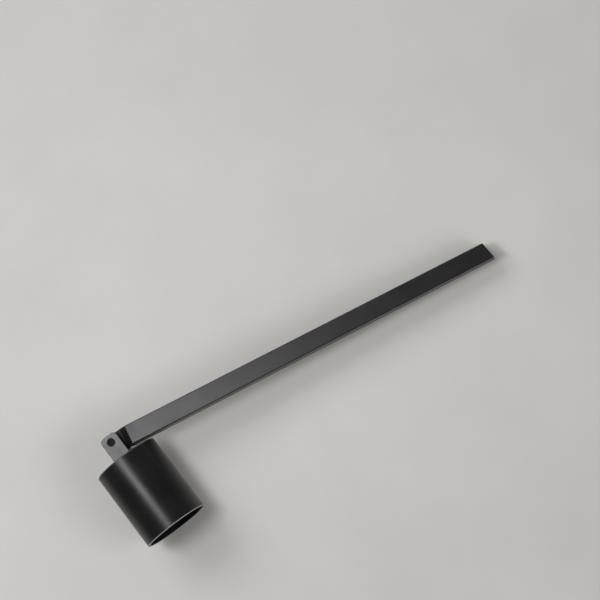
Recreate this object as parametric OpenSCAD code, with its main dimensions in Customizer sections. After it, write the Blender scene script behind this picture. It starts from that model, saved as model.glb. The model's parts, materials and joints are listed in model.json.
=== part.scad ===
// Candle snuffer: a round bell, closed at its top, hinged on the end of a long square handle.
//
// The snuffer lies on its side, as it is put down on a table: the bell rests on its round wall
// and the far end of the handle touches the surface, so the whole snuffer is rolled a few degrees
// about the bell's axis. +Z is up, the bell's mouth faces -Y and the handle runs towards +X.
// The origin is under the middle of the snuffer's box, on the surface.

/* [Bell] */
// Outer diameter of the bell
bell_d = 30; // [26:0.5:31]
// Height of the bell, closed top to mouth
bell_h = 37.2; // [32:0.1:44]
// Thickness of the bell's round wall
bell_wall = 1.0; // [0.8:0.1:1.4]
// Thickness of the bell's closed top
bell_top_t = 1.2; // [1.0:0.1:1.6]
// Radius of the bell's outer top edge
bell_top_r = 0.5; // [0.3:0.1:0.8]
// Radius of the outer edge of the bell's lip
bell_lip_r = 0.3; // [0.2:0.05:0.5]

/* [Handle] */
// Distance from the hinge pivot to the handle's far end, on its top edge
handle_reach = 183.5; // [150:0.5:230]
// Width of the handle at the hinge
handle_hinge_w = 8.9; // [8.6:0.1:9.1]
// Width of the handle at its far end
handle_tip_w = 7.7; // [7:0.1:9]
// Thickness of the handle, along the hinge axis
handle_t = 10.0; // [9.4:0.1:11]
// Wall of the square tube
handle_wall = 0.9; // [0.7:0.1:1.2]
// How far the handle's middle line passes below the pivot
pivot_offset = 0.6; // [0:0.1:0.7]
// Angle of the far end's cut, from square
tip_cut_deg = 14; // [0:1:25]
// Length of the plug that closes the far end
tip_plug_l = 7; // [5:0.5:12]

/* [Hinge] */
// Height of the hinge pivot above the bell's closed top
pivot_h = 9.0; // [8.9:0.1:9.6]
// How far the handle droops below square to the bell's axis
droop_deg = 11.1; // [4:0.1:11.6]
// Width of the fork's ears
ear_w = 8.2; // [7.6:0.1:8.3]
// Height of the ears above the pivot
ear_top = 3.35; // [3.2:0.05:3.8]
// Corner radius at the top of the ears
ear_r = 2.0; // [1.5:0.1:2.4]
// Width of the slot between the ears
slot_w = 4.2; // [4.0:0.1:4.6]
// Depth of the slot below the pivot
slot_depth = 6.5; // [6.4:0.05:6.7]
// Radius of the tongue's round end
tongue_r = 3.2; // [3.1:0.1:3.3]
// Distance from the pivot to the end of the tube
tube_start = 8.4; // [7.8:0.1:9]
// Distance from the pivot to the foot of the tongue's ramps
ramp_foot = 5.5; // [5.4:0.05:5.8]
// How far the tongue's plug reaches into the tube
tongue_plug_l = 10; // [6:0.5:16]

/* [Fasteners] */
// Diameter of the pivot screw's shank
pivot_d = 2.2; // [1.8:0.1:2.4]
// Diameter of the pivot screw's head
pivot_head_d = 3.7; // [3.2:0.1:3.8]
// Height of the pivot screw's head
pivot_head_h = 0.9; // [0.8:0.05:1.0]
// Depth of the pockets for the screw's head and the nut
pocket_depth = 1.25; // [1.15:0.05:1.3]
// Width of the pivot nut across its flats
nut_af = 3.8; // [3.6:0.1:4.0]
// Thickness of the pivot nut
nut_t = 1.1; // [1.0:0.05:1.1]
// Diameter of the screw that holds the fork on the bell
bell_screw_d = 2.5; // [2:0.1:3]
// Diameter of that screw's head
bell_screw_head_d = 5; // [4.6:0.1:5.6]
// Height of that screw's head
bell_screw_head_h = 1.5; // [1.2:0.1:2]
// Outer diameter of the lock washer and the friction washers
washer_d = 5.8; // [5.6:0.1:6.4]
// Thickness of the lock washer
lock_washer_t = 0.6; // [0.5:0.1:0.8]

/* [Hidden] */
$fn = 96;
EPS = 0.01;

// How far a cutting shape runs past what it cuts
overrun = 2;

// Gaps: between parts that don't move, round the pivot and beside the washers
fixed_gap = 0.02;
running_gap = 0.04;
washer_gap = 0.02;

// The tongue fills the slot but for a friction washer on each side
friction_washer_t = 0.28;
tongue_t = slot_w - 2 * (friction_washer_t + washer_gap);
fork_t = handle_t;

// A narrow raised land runs across the tongue at the foot of each ramp
land_w = 0.45;
land_rise = 0.2;
land_start = ramp_foot - land_w;

// Square spigot under the fork, which keeps it from turning on the bell
spigot_w = 4.4;
spigot_end_gap = 0.1;
spigot_h = bell_top_t - spigot_end_gap;

// Radius of the edges inside the bell
bell_inner_r = 0.1;

// Space between the end of the screw that holds the fork and the slot above it
bell_screw_end_gap = 0.2;

// How much wider the washers' holes are than their screws
lock_washer_play = 0.3;
friction_washer_play = 0.1;

// Width of the lock washer's split, and where the split is
split_w = 0.5;
split_deg = 40;

// Key sizes of the two screws' hexagon sockets, and how deep they are
pivot_socket_af = 1.8;
pivot_socket_depth = 0.5;
bell_socket_af = 2.0;
bell_socket_depth = 1.0;

bell_r = bell_d / 2;
pivot_head_z = handle_t / 2 - pocket_depth;

// Where the two corners of the far end are, seen from the pivot, square to the bell's axis
tip_cut = handle_width(handle_reach) * tan(tip_cut_deg);
tip_low = handle_reach + tip_cut;
tip_x = max(
    handle_reach * cos(droop_deg) + handle_edge(handle_reach, 1) * sin(droop_deg),
    tip_low * cos(droop_deg) + handle_edge(tip_low, -1) * sin(droop_deg)
);

// Roll about the bell's axis that brings the far end down to the surface
roll_deg = asin(bell_r / norm([tip_x, handle_t / 2])) - atan2(handle_t / 2, tip_x);

// Middle of the snuffer's box, seen from the pivot
box_max_x = tip_x * cos(roll_deg) + handle_t / 2 * sin(roll_deg);
box_mid_x = (box_max_x - bell_r) / 2;
box_mid_y = (ear_top - pivot_h - bell_h) / 2;

// Width of the handle at distance x from the pivot
function handle_width(x) = handle_hinge_w + (handle_tip_w - handle_hinge_w) * x / handle_reach;

// Where the handle's upper (side 1) or lower (side -1) edge is at distance x from the pivot
function handle_edge(x, side) = side * handle_width(x) / 2 - pivot_offset;

// Places what is drawn about the pivot, with the bell's axis on -Y and the hinge axis on Z
module lying() {
    translate([-box_mid_x, -box_mid_y, bell_r]) rotate([0, roll_deg, 0]) children();
}

// Turns what is drawn along X to the handle's own direction
module along_handle() {
    lying() rotate([0, 0, -droop_deg]) children();
}

// Places what is drawn along Z, from the bell's closed top towards its mouth
module along_bell() {
    lying() translate([0, -pivot_h, 0]) rotate([90, 0, 0]) children();
}

// Half of a round solid's section, from the axis outwards, with its low and far corners rounded
module cup_section(radius, height, low_r, far_r) {
    translate([0, low_r]) square([radius, height - low_r - far_r]);
    square([radius - low_r, height]);
    translate([radius - low_r, low_r]) circle(low_r);
    square([radius - far_r, height]);
    translate([radius - far_r, height - far_r]) circle(far_r);
}

// A flat ring lying on z = 0
module ring(outer_d, inner_d, height) {
    linear_extrude(height) difference() {
        circle(d = outer_d);
        circle(d = inner_d);
    }
}

// A hexagon prism on z = 0, given across its flats
module hexagon(af, height) {
    cylinder(d = af / cos(30), h = height, $fn = 6);
}

module bell() {
    color("#1c1c1e") along_bell() difference() {
        rotate_extrude() difference() {
            cup_section(bell_r, bell_h, bell_top_r, bell_lip_r);
            translate([0, bell_top_t])
                cup_section(bell_r - bell_wall, bell_h, bell_top_r, bell_inner_r);
        }
        translate([0, 0, bell_top_t / 2])
            cube([spigot_w + 2 * fixed_gap, spigot_w + 2 * fixed_gap, 2 * bell_top_t], center = true);
    }
}

// Outline of one ear, with the pivot at the origin
module ear_outline() {
    corner_x = ear_w / 2 - ear_r;
    translate([-ear_w / 2, -pivot_h]) square([ear_w, pivot_h + ear_top - ear_r]);
    translate([-corner_x, 0]) square([2 * corner_x, ear_top]);
    for (side = [-1, 1]) translate([side * corner_x, ear_top - ear_r]) circle(ear_r);
}

module hinge_fork() {
    color("#3a3a3c") lying() difference() {
        union() {
            linear_extrude(fork_t, center = true) ear_outline();
            translate([-spigot_w / 2, -pivot_h - spigot_h, -spigot_w / 2])
                cube([spigot_w, spigot_h + EPS, spigot_w]);
        }
        translate([-ear_w, -slot_depth, -slot_w / 2]) cube([2 * ear_w, 2 * slot_depth, slot_w]);
        cylinder(d = pivot_d + 2 * fixed_gap, h = 2 * fork_t, center = true);
        translate([0, 0, pivot_head_z]) cylinder(d = pivot_head_d + 2 * fixed_gap, h = fork_t);
        translate([0, 0, -pivot_head_z - fork_t]) hexagon(nut_af + 2 * fixed_gap, fork_t);
        rotate([90, 0, 0]) cylinder(d = bell_screw_d + 2 * fixed_gap, h = 2 * pivot_h);
    }
}

module bell_screw() {
    shank_top = pivot_h - slot_depth - bell_screw_end_gap;
    seat = bell_top_t + lock_washer_t;
    color("#2a2a2c") along_bell() difference() {
        union() {
            translate([0, 0, -shank_top]) cylinder(d = bell_screw_d, h = shank_top + seat + EPS);
            translate([0, 0, seat]) cylinder(d = bell_screw_head_d, h = bell_screw_head_h);
        }
        translate([0, 0, seat + bell_screw_head_h - bell_socket_depth])
            hexagon(bell_socket_af, 2 * bell_socket_depth);
    }
}

// A spring lock washer: a ring split across one side
module lock_washer() {
    color("#8a8a8c") along_bell() translate([0, 0, bell_top_t]) difference() {
        ring(washer_d, bell_screw_d + lock_washer_play, lock_washer_t);
        rotate(split_deg) translate([0, -split_w / 2, -lock_washer_t])
            cube([washer_d, split_w, 3 * lock_washer_t]);
    }
}

module pivot_screw() {
    shank_l = 2 * pivot_head_z + nut_t;
    color("#141415") lying() difference() {
        union() {
            translate([0, 0, pivot_head_z - shank_l]) cylinder(d = pivot_d, h = shank_l + EPS);
            translate([0, 0, pivot_head_z]) cylinder(d = pivot_head_d, h = pivot_head_h);
        }
        translate([0, 0, pivot_head_z + pivot_head_h - pivot_socket_depth])
            hexagon(pivot_socket_af, 2 * pivot_socket_depth);
    }
}

module pivot_nut() {
    color("#141415") lying() translate([0, 0, -pivot_head_z - nut_t]) difference() {
        hexagon(nut_af, nut_t);
        translate([0, 0, -nut_t]) cylinder(d = pivot_d + 2 * fixed_gap, h = 3 * nut_t);
    }
}

// A thin plastic ring between the tongue and the ear on the given side
module friction_washer(side) {
    color("#d8d6cf") lying()
        translate([0, 0, side * (slot_w - friction_washer_t) / 2 - friction_washer_t / 2])
        ring(washer_d, pivot_d + friction_washer_play, friction_washer_t);
}

// Outline of the tapered handle between two distances from the pivot, inset on both long sides.
// Its far end is cut at the given angle.
module handle_outline(from_x, to_x, inset, cut_deg) {
    top_x = to_x + inset * tan(cut_deg);
    low_x = to_x + (handle_width(to_x) - inset) * tan(cut_deg);
    polygon([
        [from_x, handle_edge(from_x, -1) + inset],
        [low_x, handle_edge(low_x, -1) + inset],
        [top_x, handle_edge(top_x, 1) - inset],
        [from_x, handle_edge(from_x, 1) - inset]
    ]);
}

module handle_tube() {
    color("#1c1c1e") along_handle() difference() {
        linear_extrude(handle_t, center = true)
            handle_outline(tube_start, handle_reach, 0, tip_cut_deg);
        linear_extrude(handle_t - 2 * handle_wall, center = true)
            handle_outline(tube_start - overrun, handle_reach + overrun, handle_wall, tip_cut_deg);
    }
}

module tip_plug() {
    color("#1c1c1e") along_handle()
        linear_extrude(handle_t - 2 * handle_wall - 2 * fixed_gap, center = true)
        handle_outline(handle_reach - tip_plug_l, handle_reach, handle_wall + fixed_gap, tip_cut_deg);
}

// Seen from above: the round end, widening to the handle's full width
module tongue_outline() {
    circle(tongue_r);
    polygon([
        [0, -tongue_r],
        [land_start, handle_edge(land_start, -1)],
        [tube_start, handle_edge(tube_start, -1)],
        [tube_start, handle_edge(tube_start, 1)],
        [land_start, handle_edge(land_start, 1)],
        [0, tongue_r]
    ]);
}

// Seen from the side: the thin tongue, a low land and the ramps up to the handle's thickness
module tongue_profile() {
    for (side = [-1, 1]) scale([1, side]) polygon([
        [-tongue_r - overrun, 0],
        [-tongue_r - overrun, tongue_t / 2],
        [land_start, tongue_t / 2],
        [land_start, tongue_t / 2 + land_rise],
        [ramp_foot, tongue_t / 2 + land_rise],
        [tube_start, handle_t / 2],
        [tube_start, 0]
    ]);
}

module hinge_tongue() {
    color("#1c1c1e") along_handle() difference() {
        union() {
            intersection() {
                linear_extrude(handle_t, center = true) tongue_outline();
                rotate([90, 0, 0]) linear_extrude(2 * handle_t, center = true) tongue_profile();
            }
            linear_extrude(handle_t - 2 * handle_wall - 2 * fixed_gap, center = true)
                handle_outline(tube_start - EPS, tube_start + tongue_plug_l,
                    handle_wall + fixed_gap, 0);
        }
        cylinder(d = pivot_d + 2 * running_gap, h = 2 * handle_t, center = true);
    }
}

bell();
hinge_fork();
bell_screw();
lock_washer();
pivot_screw();
pivot_nut();
friction_washer(1);  // front_friction_washer
friction_washer(-1);  // rear_friction_washer
handle_tube();
hinge_tongue();
tip_plug();
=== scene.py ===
"""Looks for the candle snuffer: rounded edges, materials, floor, lights and camera, on the frame."""

import json
import math

import bmesh
import bpy
from mathutils import Matrix, Vector


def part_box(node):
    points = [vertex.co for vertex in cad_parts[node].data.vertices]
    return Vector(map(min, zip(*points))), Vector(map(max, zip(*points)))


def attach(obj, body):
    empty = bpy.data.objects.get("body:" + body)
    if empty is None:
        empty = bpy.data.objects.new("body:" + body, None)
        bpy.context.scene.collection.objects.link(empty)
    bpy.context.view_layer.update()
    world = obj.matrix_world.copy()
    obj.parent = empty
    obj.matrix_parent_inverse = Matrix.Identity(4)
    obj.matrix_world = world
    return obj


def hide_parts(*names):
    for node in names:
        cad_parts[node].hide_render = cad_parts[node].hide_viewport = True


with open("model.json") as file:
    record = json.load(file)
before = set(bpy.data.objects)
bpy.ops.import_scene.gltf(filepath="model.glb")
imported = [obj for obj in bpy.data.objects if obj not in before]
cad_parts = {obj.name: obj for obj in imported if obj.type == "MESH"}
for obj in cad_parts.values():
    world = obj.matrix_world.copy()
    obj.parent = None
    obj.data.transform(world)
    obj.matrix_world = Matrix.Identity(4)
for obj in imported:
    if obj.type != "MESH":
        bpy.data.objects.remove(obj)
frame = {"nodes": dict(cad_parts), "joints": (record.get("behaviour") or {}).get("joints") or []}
bpy.context.view_layer.update()

MM = 0.001
HEAD = "snuffer_head"

# An edge is rounded above the first angle between its faces, and shaded sharp above the second
ROUNDED_DEG = 28
SHADED_SHARP_DEG = 50

# The CAD meshes are joined at their vertices and cleared of flat edges to these limits
MERGE_DISTANCE = 1e-7
FLAT_DEG = 0.4

# Face attribute that is above 0 where the material is painted lighter: rubbed wear, and a painted
# highlight along rims and edges
EDGE = "edge"

# Noise scales, in features per metre
COAT_BLOTCHES = 90.0
WEAR_AND_HIGHLIGHT_PATCHES = 420.0
STEEL_BLOTCHES = 500.0
NYLON_BLOTCHES = 700.0
NYLON_GRAIN = 9000.0
FLOOR_BLOTCHES = 14.0
FLOOR_GRAIN = 1500.0

# Size and depth of the fine grain in the black coat, and spacing of turning lines on steel
GRAIN = 0.25 * MM
GRAIN_DEPTH = 0.012 * MM
TURNING_STEP = 0.16 * MM

# Specular level of the screws, the nut and the lock washer, lower than a coat's
STEEL_GLOSS = 0.15

# Radius of the floor, in metres
FLOOR_RADIUS = 3.0

# The bell's wall, closed top, rounded outer edges and square hole, as its solid has them. The
# round inside its lip is added here, where the solid's edge is sharp.
BELL_WALL = 1.0 * MM
BELL_TOP = 1.2 * MM
BELL_TOP_ROUND = 0.5 * MM
BELL_LIP_ROUND = 0.3 * MM
BELL_INNER_ROUND = 0.12 * MM
BELL_HOLE_HALF = 2.22 * MM

# Edges of the fork closer to the pivot than this belong to its holes
HOLE_REACH = 2.5 * MM

# Parts of the full rounding that go to the tube's ends, the tube's inside and the fork's inner edges
TUBE_END_SHARE = 0.35
TUBE_INSIDE_SHARE = 0.12
FORK_INNER_SHARE = 0.25

# An edge runs along the tube when the cosine of its angle to it is above this
ALONG_TUBE = 0.98


def middle(node):
    """The middle of a CAD node's box."""
    low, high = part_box(node)
    return (low + high) / 2


def square_to_hinge(vector):
    """The part of a vector that is square to the hinge axis."""
    return vector - vector.dot(HINGE_AXIS) * HINGE_AXIS


# The hinge axis points to the side of the screw's head, the bell's axis from its closed top to
# its mouth, and the handle's direction from the hinge to its far end
HINGE = frame["joints"][0]
PIVOT = Vector(HINGE["pos_m"])
HINGE_AXIS = -Vector(HINGE["axis"]).normalized()
BELL_AXIS = Vector((0, -1, 0))
BELL_MIDDLE = middle("bell")
TUBE_MIDDLE = middle("handle_tube")
HANDLE_DIRECTION = square_to_hinge(TUBE_MIDDLE - PIVOT).normalized()


def height_on_hinge(point):
    """How far a point is from the pivot along the hinge axis."""
    return (point - PIVOT).dot(HINGE_AXIS)


FORK_HALF = max(abs(height_on_hinge(v.co)) for v in frame["nodes"]["hinge_fork"].data.vertices)


# ---------------------------------------------------------------- node graphs


class Graph:
    """A material's or world's node tree, with short calls to add and join nodes."""

    def __init__(self, owner):
        owner.use_nodes = True
        self.tree = owner.node_tree
        self.tree.nodes.clear()

    def add(self, kind, inputs=None, **settings):
        """Adds a node. An input's value may be a number, a tuple, or another node's output."""
        node = self.tree.nodes.new("ShaderNode" + kind)
        for name, value in settings.items():
            setattr(node, name, value)
        for name, value in (inputs or {}).items():
            if isinstance(value, bpy.types.NodeSocket):
                self.tree.links.new(value, node.inputs[name])
            else:
                node.inputs[name].default_value = value
        return node

    def math(self, operation, a, b=0.0):
        return self.add("Math", {0: a, 1: b}, operation=operation).outputs[0]

    def vector_math(self, operation, first, vector):
        """A vector operation between a socket and a fixed vector."""
        return self.add("VectorMath", {0: first, 1: tuple(vector)}, operation=operation)

    def span(self, value, from_low, from_high, to_low, to_high):
        """Maps one range of values to another, without going past its ends."""
        inputs = {
            "Value": value,
            "From Min": from_low,
            "From Max": from_high,
            "To Min": to_low,
            "To Max": to_high,
        }
        return self.add("MapRange", inputs, clamp=True).outputs["Result"]

    def mix(self, factor, first, second):
        """Mixes two colours."""
        node = self.add("Mix", data_type="RGBA", clamp_factor=True)
        for index, value in ((0, factor), (6, first), (7, second)):
            if isinstance(value, bpy.types.NodeSocket):
                self.tree.links.new(value, node.inputs[index])
            else:
                node.inputs[index].default_value = value
        return node.outputs[2]

    def noise(self, where, scale, detail=2.0, roughness=0.5):
        inputs = {"Vector": where, "Scale": scale, "Detail": detail, "Roughness": roughness}
        return self.add("TexNoise", inputs).outputs["Fac"]


def grey(value, blue=0.0):
    """A near-neutral colour, a little cooler where blue is above 0."""
    return (value * (1 - blue), value, value * (1 + blue), 1.0)


def place_in_material(graph, turn=(0.0, 0.0, 0.0), stretch=(1.0, 1.0, 1.0)):
    """Points of the piece in its own frame, turned and then stretched."""
    coordinates = graph.add("TexCoord").outputs["Object"]
    turned = graph.add("Mapping", {"Vector": coordinates, "Rotation": turn})
    return graph.add("Mapping", {"Vector": turned.outputs[0], "Scale": stretch}).outputs[0]


def surface(graph, colour, roughness, bump, gloss=0.5, metallic=0.0):
    """Ends a material in one Principled shader, where gloss is its specular level."""
    inputs = {
        "Base Color": colour,
        "Roughness": roughness,
        "Normal": bump,
        "Specular IOR Level": gloss,
        "Metallic": metallic,
    }
    shader = graph.add("BsdfPrincipled", inputs)
    graph.add("OutputMaterial", {"Surface": shader.outputs[0]})


def turn_to(direction):
    """Rotation that brings a direction to X, for streaks that run along it."""
    return tuple(direction.rotation_difference(Vector((1, 0, 0))).to_euler())


def coated_metal(name, shade, roughness, edge_wear_and_highlight, streaks=None, scratches=0.0, gloss=0.5):
    """A satin coat over metal: soft blotches, a fine grain, faint streaks, and lighter edges that are
    rubbed wear and a painted highlight.

    shade is the coat's brightness. The pair for the edges gives how light they are painted, as rubbed wear
    and as a painted highlight, and the part of them that is. streaks is the direction and strength of
    fine lines, and scratches the brightness of a few marks on the faces square to the hinge axis."""
    material = bpy.data.materials.new(name)
    graph = Graph(material)
    plain = place_in_material(graph)
    blotches = graph.noise(plain, COAT_BLOTCHES, 3.0, 0.6)
    fine = graph.noise(plain, 1.0 / GRAIN, 2.0, 0.6)

    darker, lighter = grey(shade * 0.85, 0.05), grey(shade * 1.2, 0.05)
    base = graph.mix(graph.span(blotches, 0.3, 0.7, 0.0, 1.0), darker, lighter)
    rough = graph.span(blotches, 0.3, 0.7, roughness - 0.03, roughness + 0.04)
    rough = graph.math("ADD", rough, graph.span(fine, 0.3, 0.7, -0.02, 0.02))
    height = fine
    if streaks:
        direction, strength = streaks
        along = place_in_material(graph, turn_to(direction), (30.0, 2600.0, 2600.0))
        lines = graph.noise(along, 1.0, 3.0, 0.7)
        height = graph.math("ADD", height, graph.math("MULTIPLY", lines, strength))
        rough = graph.math("ADD", rough, graph.span(lines, 0.3, 0.7, -0.03 * strength, 0.03 * strength))
    if scratches:
        marks = scratch_marks(graph)
        base = graph.mix(marks, base, grey(scratches))
        height = graph.math("SUBTRACT", height, graph.math("MULTIPLY", marks, 0.5))

    # Rounded edges painted lighter in patches: rubbed wear, and a painted highlight along rims and edges
    lightness, part = edge_wear_and_highlight
    on_edge = graph.add("Attribute", attribute_name=EDGE).outputs["Fac"]
    patches = graph.noise(plain, WEAR_AND_HIGHLIGHT_PATCHES, 3.0, 0.6)
    start = 0.75 - 0.5 * part
    wear_and_highlight = graph.math("MULTIPLY", on_edge, graph.span(patches, start, start + 0.12, 0.0, 1.0))
    base = graph.mix(wear_and_highlight, base, grey(lightness))
    bump = graph.add("Bump", {"Height": height, "Strength": 0.6, "Distance": GRAIN_DEPTH})
    surface(graph, base, rough, bump.outputs[0], gloss)
    return material


def scratch_marks(graph):
    """Fine crossing scratches, only on the faces square to the hinge axis."""
    marks = None
    for angle in (0.35, 1.25, 2.3):
        along = place_in_material(graph, (0.0, 0.0, angle), (160.0, 4200.0, 4200.0))
        line = graph.span(graph.noise(along, 1.0, 1.0, 0.4), 0.63, 0.70, 0.0, 1.0)
        marks = graph.math("MAXIMUM", marks, line) if marks else line
    normal = graph.add("TexCoord").outputs["Normal"]
    facing = graph.vector_math("DOT_PRODUCT", normal, HINGE_AXIS).outputs["Value"]
    flat = graph.span(graph.math("ABSOLUTE", facing), 0.95, 0.99, 0.0, 1.0)
    return graph.math("MULTIPLY", marks, flat)


def turned_steel(name, shade, roughness, metallic, turned_about):
    """Steel with fine turning lines round an axis that passes through the given point.

    metallic is 1 for bare steel, and 0 for the dull black oxide on a screw."""
    material = bpy.data.materials.new(name)
    graph = Graph(material)
    centre, axis = turned_about
    coordinates = graph.add("TexCoord").outputs["Object"]
    from_centre = graph.vector_math("SUBTRACT", coordinates, centre).outputs[0]
    across = graph.vector_math("CROSS_PRODUCT", from_centre, axis).outputs[0]
    reach = graph.add("VectorMath", {0: across}, operation="LENGTH").outputs["Value"]
    rings = graph.math("SINE", graph.math("MULTIPLY", reach, 2 * math.pi / TURNING_STEP))
    blotches = graph.noise(coordinates, STEEL_BLOTCHES, 3.0, 0.6)
    base = graph.mix(graph.span(blotches, 0.3, 0.7, 0.0, 1.0), grey(shade * 0.8), grey(shade * 1.15))
    rough = graph.span(blotches, 0.3, 0.7, roughness - 0.06, roughness + 0.08)
    rough = graph.math("ADD", rough, graph.math("MULTIPLY", rings, 0.02))
    # Rounded edges painted lighter: rubbed wear, and a painted highlight
    on_edge = graph.add("Attribute", attribute_name=EDGE).outputs["Fac"]
    base = graph.mix(graph.math("MULTIPLY", on_edge, 0.5), base, grey(min(1.0, shade * 2.2 + 0.015)))
    height = graph.math("ADD", graph.math("MULTIPLY", rings, 0.5), blotches)
    bump = graph.add("Bump", {"Height": height, "Strength": 0.5, "Distance": 0.006 * MM})
    surface(graph, base, rough, bump.outputs[0], STEEL_GLOSS, metallic)
    return material


def nylon(name):
    """Matte natural nylon, with a faint moulded grain."""
    material = bpy.data.materials.new(name)
    graph = Graph(material)
    plain = place_in_material(graph)
    blotches = graph.noise(plain, NYLON_BLOTCHES, 3.0, 0.6)
    fine = graph.noise(plain, NYLON_GRAIN, 2.0, 0.5)
    darker, lighter = (0.50, 0.48, 0.43, 1.0), (0.62, 0.60, 0.55, 1.0)
    base = graph.mix(graph.span(blotches, 0.3, 0.7, 0.0, 1.0), darker, lighter)
    rough = graph.span(blotches, 0.3, 0.7, 0.45, 0.6)
    bump = graph.add("Bump", {"Height": fine, "Strength": 0.5, "Distance": 0.01 * MM})
    surface(graph, base, rough, bump.outputs[0])
    return material


# ---------------------------------------------------------------- pieces


def refined(node, body, material, round_mm, steps=3, share=None):
    """Builds the shown piece from a CAD node's solid, with its sharp edges rounded.

    round_mm is the widest rounding, and share(edge) gives the part of it that an edge gets.
    The faces of the rounded edges carry 1 in the attribute that the materials read as EDGE."""
    bm = bmesh.new()
    bm.from_mesh(frame["nodes"][node].data)
    bmesh.ops.remove_doubles(bm, verts=bm.verts, dist=MERGE_DISTANCE)
    bmesh.ops.dissolve_limit(
        bm,
        angle_limit=math.radians(FLAT_DEG),
        use_dissolve_boundaries=False,
        verts=bm.verts,
        edges=bm.edges,
    )
    weight = bm.edges.layers.float.new("bevel_weight_edge")
    for edge in bm.edges:
        outer = len(edge.link_faces) == 2 and edge.is_convex
        if outer and edge.calc_face_angle() > math.radians(ROUNDED_DEG):
            edge[weight] = share(edge) if share else 1.0
    bm.faces.layers.float.new(EDGE)
    for face in bm.faces:
        face.smooth = True
    return shown_piece(bm, node, body, material, round_mm, steps)


def shown_piece(bm, node, body, material, round_mm=0.0, steps=3):
    """Makes the object from its mesh, and has it stand for its CAD node."""
    mesh = bpy.data.meshes.new(node + "_shape")
    bm.to_mesh(mesh)
    bm.free()
    mesh.materials.append(material)
    piece = bpy.data.objects.new(node + "_piece", mesh)
    bpy.context.scene.collection.objects.link(piece)
    if round_mm:
        round_edges(piece, round_mm * MM, steps)
    piece.data.set_sharp_from_angle(angle=math.radians(SHADED_SHARP_DEG))
    piece.modifiers.new("face_normals", "WEIGHTED_NORMAL").keep_sharp = True
    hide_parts(node)
    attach(piece, body)
    return piece


def round_edges(piece, width, steps):
    """Rounds a piece's weighted edges, and marks the new faces in the EDGE attribute."""
    piece.data.materials.append(piece.data.materials[0])
    bevel = piece.modifiers.new("rounding", "BEVEL")
    bevel.limit_method = "WEIGHT"
    bevel.width = width
    bevel.segments = steps
    bevel.material = 1
    bevel.use_clamp_overlap = True
    plain = piece.data
    depsgraph = bpy.context.evaluated_depsgraph_get()
    piece.data = bpy.data.meshes.new_from_object(piece.evaluated_get(depsgraph))
    piece.modifiers.clear()
    bpy.data.meshes.remove(plain)
    wear_and_highlight = piece.data.attributes[EDGE].data
    for face in piece.data.polygons:
        if face.material_index == 1:
            wear_and_highlight[face.index].value = 1.0
            face.material_index = 0
    piece.data.materials.pop(index=1)


def tube_share(edge):
    """A full rounding along the tube, a smaller one round its ends, and hardly any inside it."""
    start, end = (vertex.co for vertex in edge.verts)
    if abs((end - start).normalized().dot(HANDLE_DIRECTION)) > ALONG_TUBE:
        return 1.0
    halfway = (start + end) / 2 - TUBE_MIDDLE
    from_middle_line = halfway - halfway.dot(HANDLE_DIRECTION) * HANDLE_DIRECTION
    wall = min(edge.link_faces, key=lambda face: abs(face.normal.dot(HANDLE_DIRECTION)))
    return TUBE_END_SHARE if wall.normal.dot(from_middle_line) > 0 else TUBE_INSIDE_SHARE


def fork_share(edge):
    """A full rounding round the fork's outline, and a small one at its slot, holes and spigot."""
    ends = [vertex.co for vertex in edge.verts]
    on_outer_face = all(abs(height_on_hinge(end)) > FORK_HALF - 0.01 * MM for end in ends)
    beyond_holes = all(square_to_hinge(end - PIVOT).length > HOLE_REACH for end in ends)
    return 1.0 if on_outer_face and beyond_holes else FORK_INNER_SHARE


def corner_points(centre, radius, start_deg, end_deg, steps=6):
    """Points of a rounded corner in the bell's section, as distances from its axis and its top."""
    turn = [math.radians(start_deg + (end_deg - start_deg) * i / steps) for i in range(steps + 1)]
    return [(centre[0] + radius * math.cos(a), centre[1] + radius * math.sin(a)) for a in turn]


def bell_section(radius, height):
    """The bell's section from its closed top's outside to its inside, with how light each point is
    painted: rubbed wear, and a painted highlight brightest on the lip.
    """
    inner = radius - BELL_WALL
    top_edge = corner_points((radius - BELL_TOP_ROUND, BELL_TOP_ROUND), BELL_TOP_ROUND, -90, 0)
    lip = corner_points((radius - BELL_LIP_ROUND, height - BELL_LIP_ROUND), BELL_LIP_ROUND, 0, 90)
    inner_centre = (inner + BELL_INNER_ROUND, height - BELL_INNER_ROUND)
    inner_lip = corner_points(inner_centre, BELL_INNER_ROUND, 90, 180)
    fillet = corner_points((inner - BELL_TOP_ROUND, BELL_TOP + BELL_TOP_ROUND), BELL_TOP_ROUND, 0, -90)
    # The lip is painted lightest, as a painted highlight along the mouth's rim and as bare worn metal; the
    # inside of the lip less, the top edge faintly
    parts = ((top_edge, 0.15), (lip, 1.0), (inner_lip, 0.6), (fillet, 0.0))
    return [(point, wear_and_highlight) for points, wear_and_highlight in parts for point in points]


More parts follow.
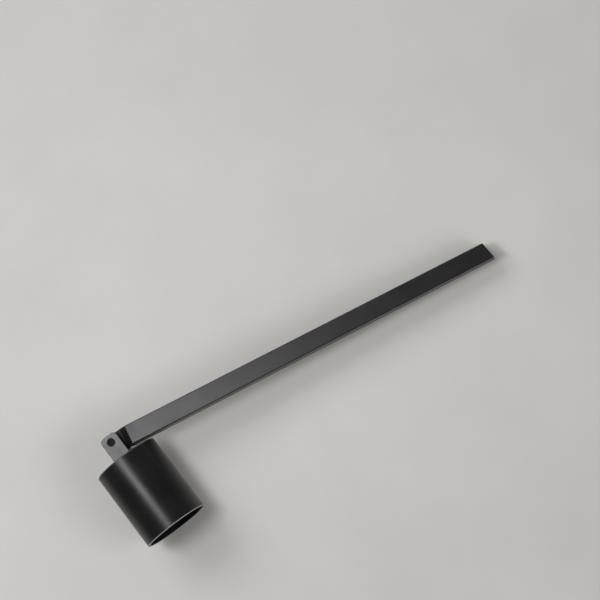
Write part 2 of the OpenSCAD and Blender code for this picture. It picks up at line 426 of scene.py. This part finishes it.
def bell_piece(material, segments=160):
    """The bell, turned round its axis, with the square hole that takes the fork's spigot."""
    low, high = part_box("bell")
    radius, height = (high.x - low.x) / 2, high.y - low.y
    top = Vector((BELL_MIDDLE.x, high.y, BELL_MIDDLE.z))
    side = HINGE_AXIS.cross(BELL_AXIS)

    def around(distance, depth, angle):
        return top + BELL_AXIS * depth + (HINGE_AXIS * math.cos(angle) + side * math.sin(angle)) * distance

    bm = bmesh.new()
    edge_layer = bm.faces.layers.float.new(EDGE)
    first = math.radians(45)
    angles = [first + 2 * math.pi * i / segments for i in range(segments)]
    section = bell_section(radius, height)
    rings = [[bm.verts.new(around(*point, a)) for a in angles] for point, _ in section]
    for (above, below), (_, wear_and_highlight), (_, next_wear_and_highlight) in zip(zip(rings, rings[1:]), section, section[1:]):
        for i in range(segments):
            j = (i + 1) % segments
            face = bm.faces.new((above[i], above[j], below[j], below[i]))
            face[edge_layer] = wear_and_highlight if wear_and_highlight == next_wear_and_highlight else 0.0
    quarter = segments // 4
    to_corner = BELL_HOLE_HALF * math.sqrt(2)
    holes = []
    for ring, depth in ((rings[0], 0.0), (rings[-1], BELL_TOP)):
        hole = [bm.verts.new(around(to_corner, depth, first + math.radians(90) * k)) for k in range(4)]
        for k in range(4):
            arc = [ring[(k * quarter + i) % segments] for i in range(quarter + 1)]
            bm.faces.new([hole[(k + 1) % 4], hole[k], *arc])
        holes.append(hole)
    for k in range(4):
        bm.faces.new((holes[0][k], holes[0][(k + 1) % 4], holes[1][(k + 1) % 4], holes[1][k]))
    bmesh.ops.recalc_face_normals(bm, faces=bm.faces)
    for face in bm.faces:
        face.smooth = True
    return shown_piece(bm, "bell", HEAD, material)


# The bell's lip is painted up to 0.42 light: a painted highlight along the rim, and wear
bell_coat = coated_metal("black_coat_on_bell", 0.0075, 0.31, edge_wear_and_highlight=(0.42, 1.0), gloss=0.42)
# The tongue's coat is a little darker than the others, as painted shade in the recess between the fork's
# ears, and duller
shaded_tongue_coat = coated_metal("black_coat_with_painted_shade_on_tongue", 0.0065, 0.56, edge_wear_and_highlight=(0.05, 0.6), gloss=0.4)
plug_coat = coated_metal("black_coat_on_plug", 0.0075, 0.42, edge_wear_and_highlight=(0.09, 0.3))
tube_coat = coated_metal(
    "black_coat_on_tube", 0.0075, 0.36, edge_wear_and_highlight=(0.09, 0.3), streaks=(HANDLE_DIRECTION, 0.5)
)
# The fork's colour is lighter than the coat's, partly as a painted sheen where the ear's face catches the
# light
fork_metal = coated_metal(
    "fork_metal", 0.02, 0.36, edge_wear_and_highlight=(0.05, 0.2), streaks=(BELL_AXIS, 0.8), scratches=0.07, gloss=0.72
)
dark_steel = turned_steel("dark_steel", 0.006, 0.5, 0.0, (PIVOT, HINGE_AXIS))
bell_screw_line = (middle("bell_screw"), BELL_AXIS)
bell_screw_steel = turned_steel("dark_steel_bell_screw", 0.006, 0.5, 0.0, bell_screw_line)
plain_steel = turned_steel("plain_steel", 0.45, 0.32, 1.0, (middle("lock_washer"), BELL_AXIS))
washer_plastic = nylon("washer_plastic")

bell_piece(bell_coat)
refined("hinge_fork", HEAD, fork_metal, 0.55, 4, share=fork_share)
refined("bell_screw", HEAD, bell_screw_steel, 0.12)
refined("lock_washer", HEAD, plain_steel, 0.06, 2)
refined("pivot_screw", HEAD, dark_steel, 0.12)
refined("pivot_nut", HEAD, dark_steel, 0.12)
refined("front_friction_washer", HEAD, washer_plastic, 0.05, 2)
refined("rear_friction_washer", HEAD, washer_plastic, 0.05, 2)
refined("handle_tube", "handle", tube_coat, 0.5, 4, share=tube_share)
refined("hinge_tongue", "handle", shaded_tongue_coat, 0.15)
refined("tip_plug", "handle", plug_coat, 0.12)


# ---------------------------------------------------------------- floor, lights and camera


def make_floor():
    """A wide pale floor with a faint, even texture."""
    mesh = bpy.data.meshes.new("floor")
    bm = bmesh.new()
    bmesh.ops.create_circle(bm, cap_ends=True, segments=96, radius=FLOOR_RADIUS)
    bm.to_mesh(mesh)
    bm.free()
    floor = bpy.data.objects.new("floor", mesh)
    bpy.context.scene.collection.objects.link(floor)
    material = bpy.data.materials.new("pale_floor")
    graph = Graph(material)
    plain = place_in_material(graph)
    blotches = graph.noise(plain, FLOOR_BLOTCHES, 4.0, 0.6)
    fine = graph.noise(plain, FLOOR_GRAIN, 2.0, 0.6)
    darker, lighter = (0.74, 0.72, 0.69, 1.0), (0.80, 0.78, 0.75, 1.0)
    base = graph.mix(graph.span(blotches, 0.3, 0.7, 0.0, 1.0), darker, lighter)
    rough = graph.span(fine, 0.3, 0.7, 0.6, 0.75)
    bump = graph.add("Bump", {"Height": fine, "Strength": 0.3, "Distance": 0.02 * MM})
    surface(graph, base, rough, bump.outputs[0])
    mesh.materials.append(material)


def area_light(name, at, aim, size, watts):
    """A soft rectangular light at a point, facing another point."""
    data = bpy.data.lights.new(name, "AREA")
    data.shape = "RECTANGLE"
    data.size, data.size_y = size
    data.energy = watts
    light = bpy.data.objects.new(name, data)
    light.location = at
    light.rotation_euler = (Vector(aim) - Vector(at)).to_track_quat("-Z", "Y").to_euler()
    bpy.context.scene.collection.objects.link(light)


def make_world(brightness):
    """An even pale surround."""
    world = bpy.data.worlds.new("surround")
    bpy.context.scene.world = world
    graph = Graph(world)
    background = graph.add("Background", {"Color": (1.0, 1.0, 1.0, 1.0), "Strength": brightness})
    graph.add("OutputWorld", {"Surface": background.outputs[0]})


def make_camera():
    """The camera, steeply above the snuffer and rolled so that the handle climbs to the right."""
    aim = Vector((0.0203, 0.0196, 0.0100))
    at = Vector((0.1173, -0.1059, 0.8435))
    roll = math.radians(-76.02)
    data = bpy.data.cameras.new("camera")
    data.sensor_width = 36.0
    data.lens = 116.6
    data.clip_start = 0.01
    data.clip_end = 20.0
    camera = bpy.data.objects.new("camera", data)
    bpy.context.scene.collection.objects.link(camera)
    level = (aim - at).to_track_quat("-Z", "Y").to_matrix()
    camera.matrix_world = Matrix.Translation(at) @ (level @ Matrix.Rotation(roll, 3, "Z")).to_4x4()
    bpy.context.scene.camera = camera


make_floor()
make_world(0.13)
area_light("key", (-0.145, 0.10, 0.50), (-0.06, 0.0, 0.0), (0.12, 0.20), 0.8)
area_light("back_fill", (-0.3, 1.2, 1.1), (0.0, 0.0, 0.0), (1.2, 0.8), 9.0)
area_light("front_fill", (1.1, -1.1, 1.1), (0.0, 0.0, 0.0), (1.2, 0.8), 10.0)
make_camera()
bpy.context.scene.view_settings.view_transform = "Standard"

bpy.context.view_layer.update()
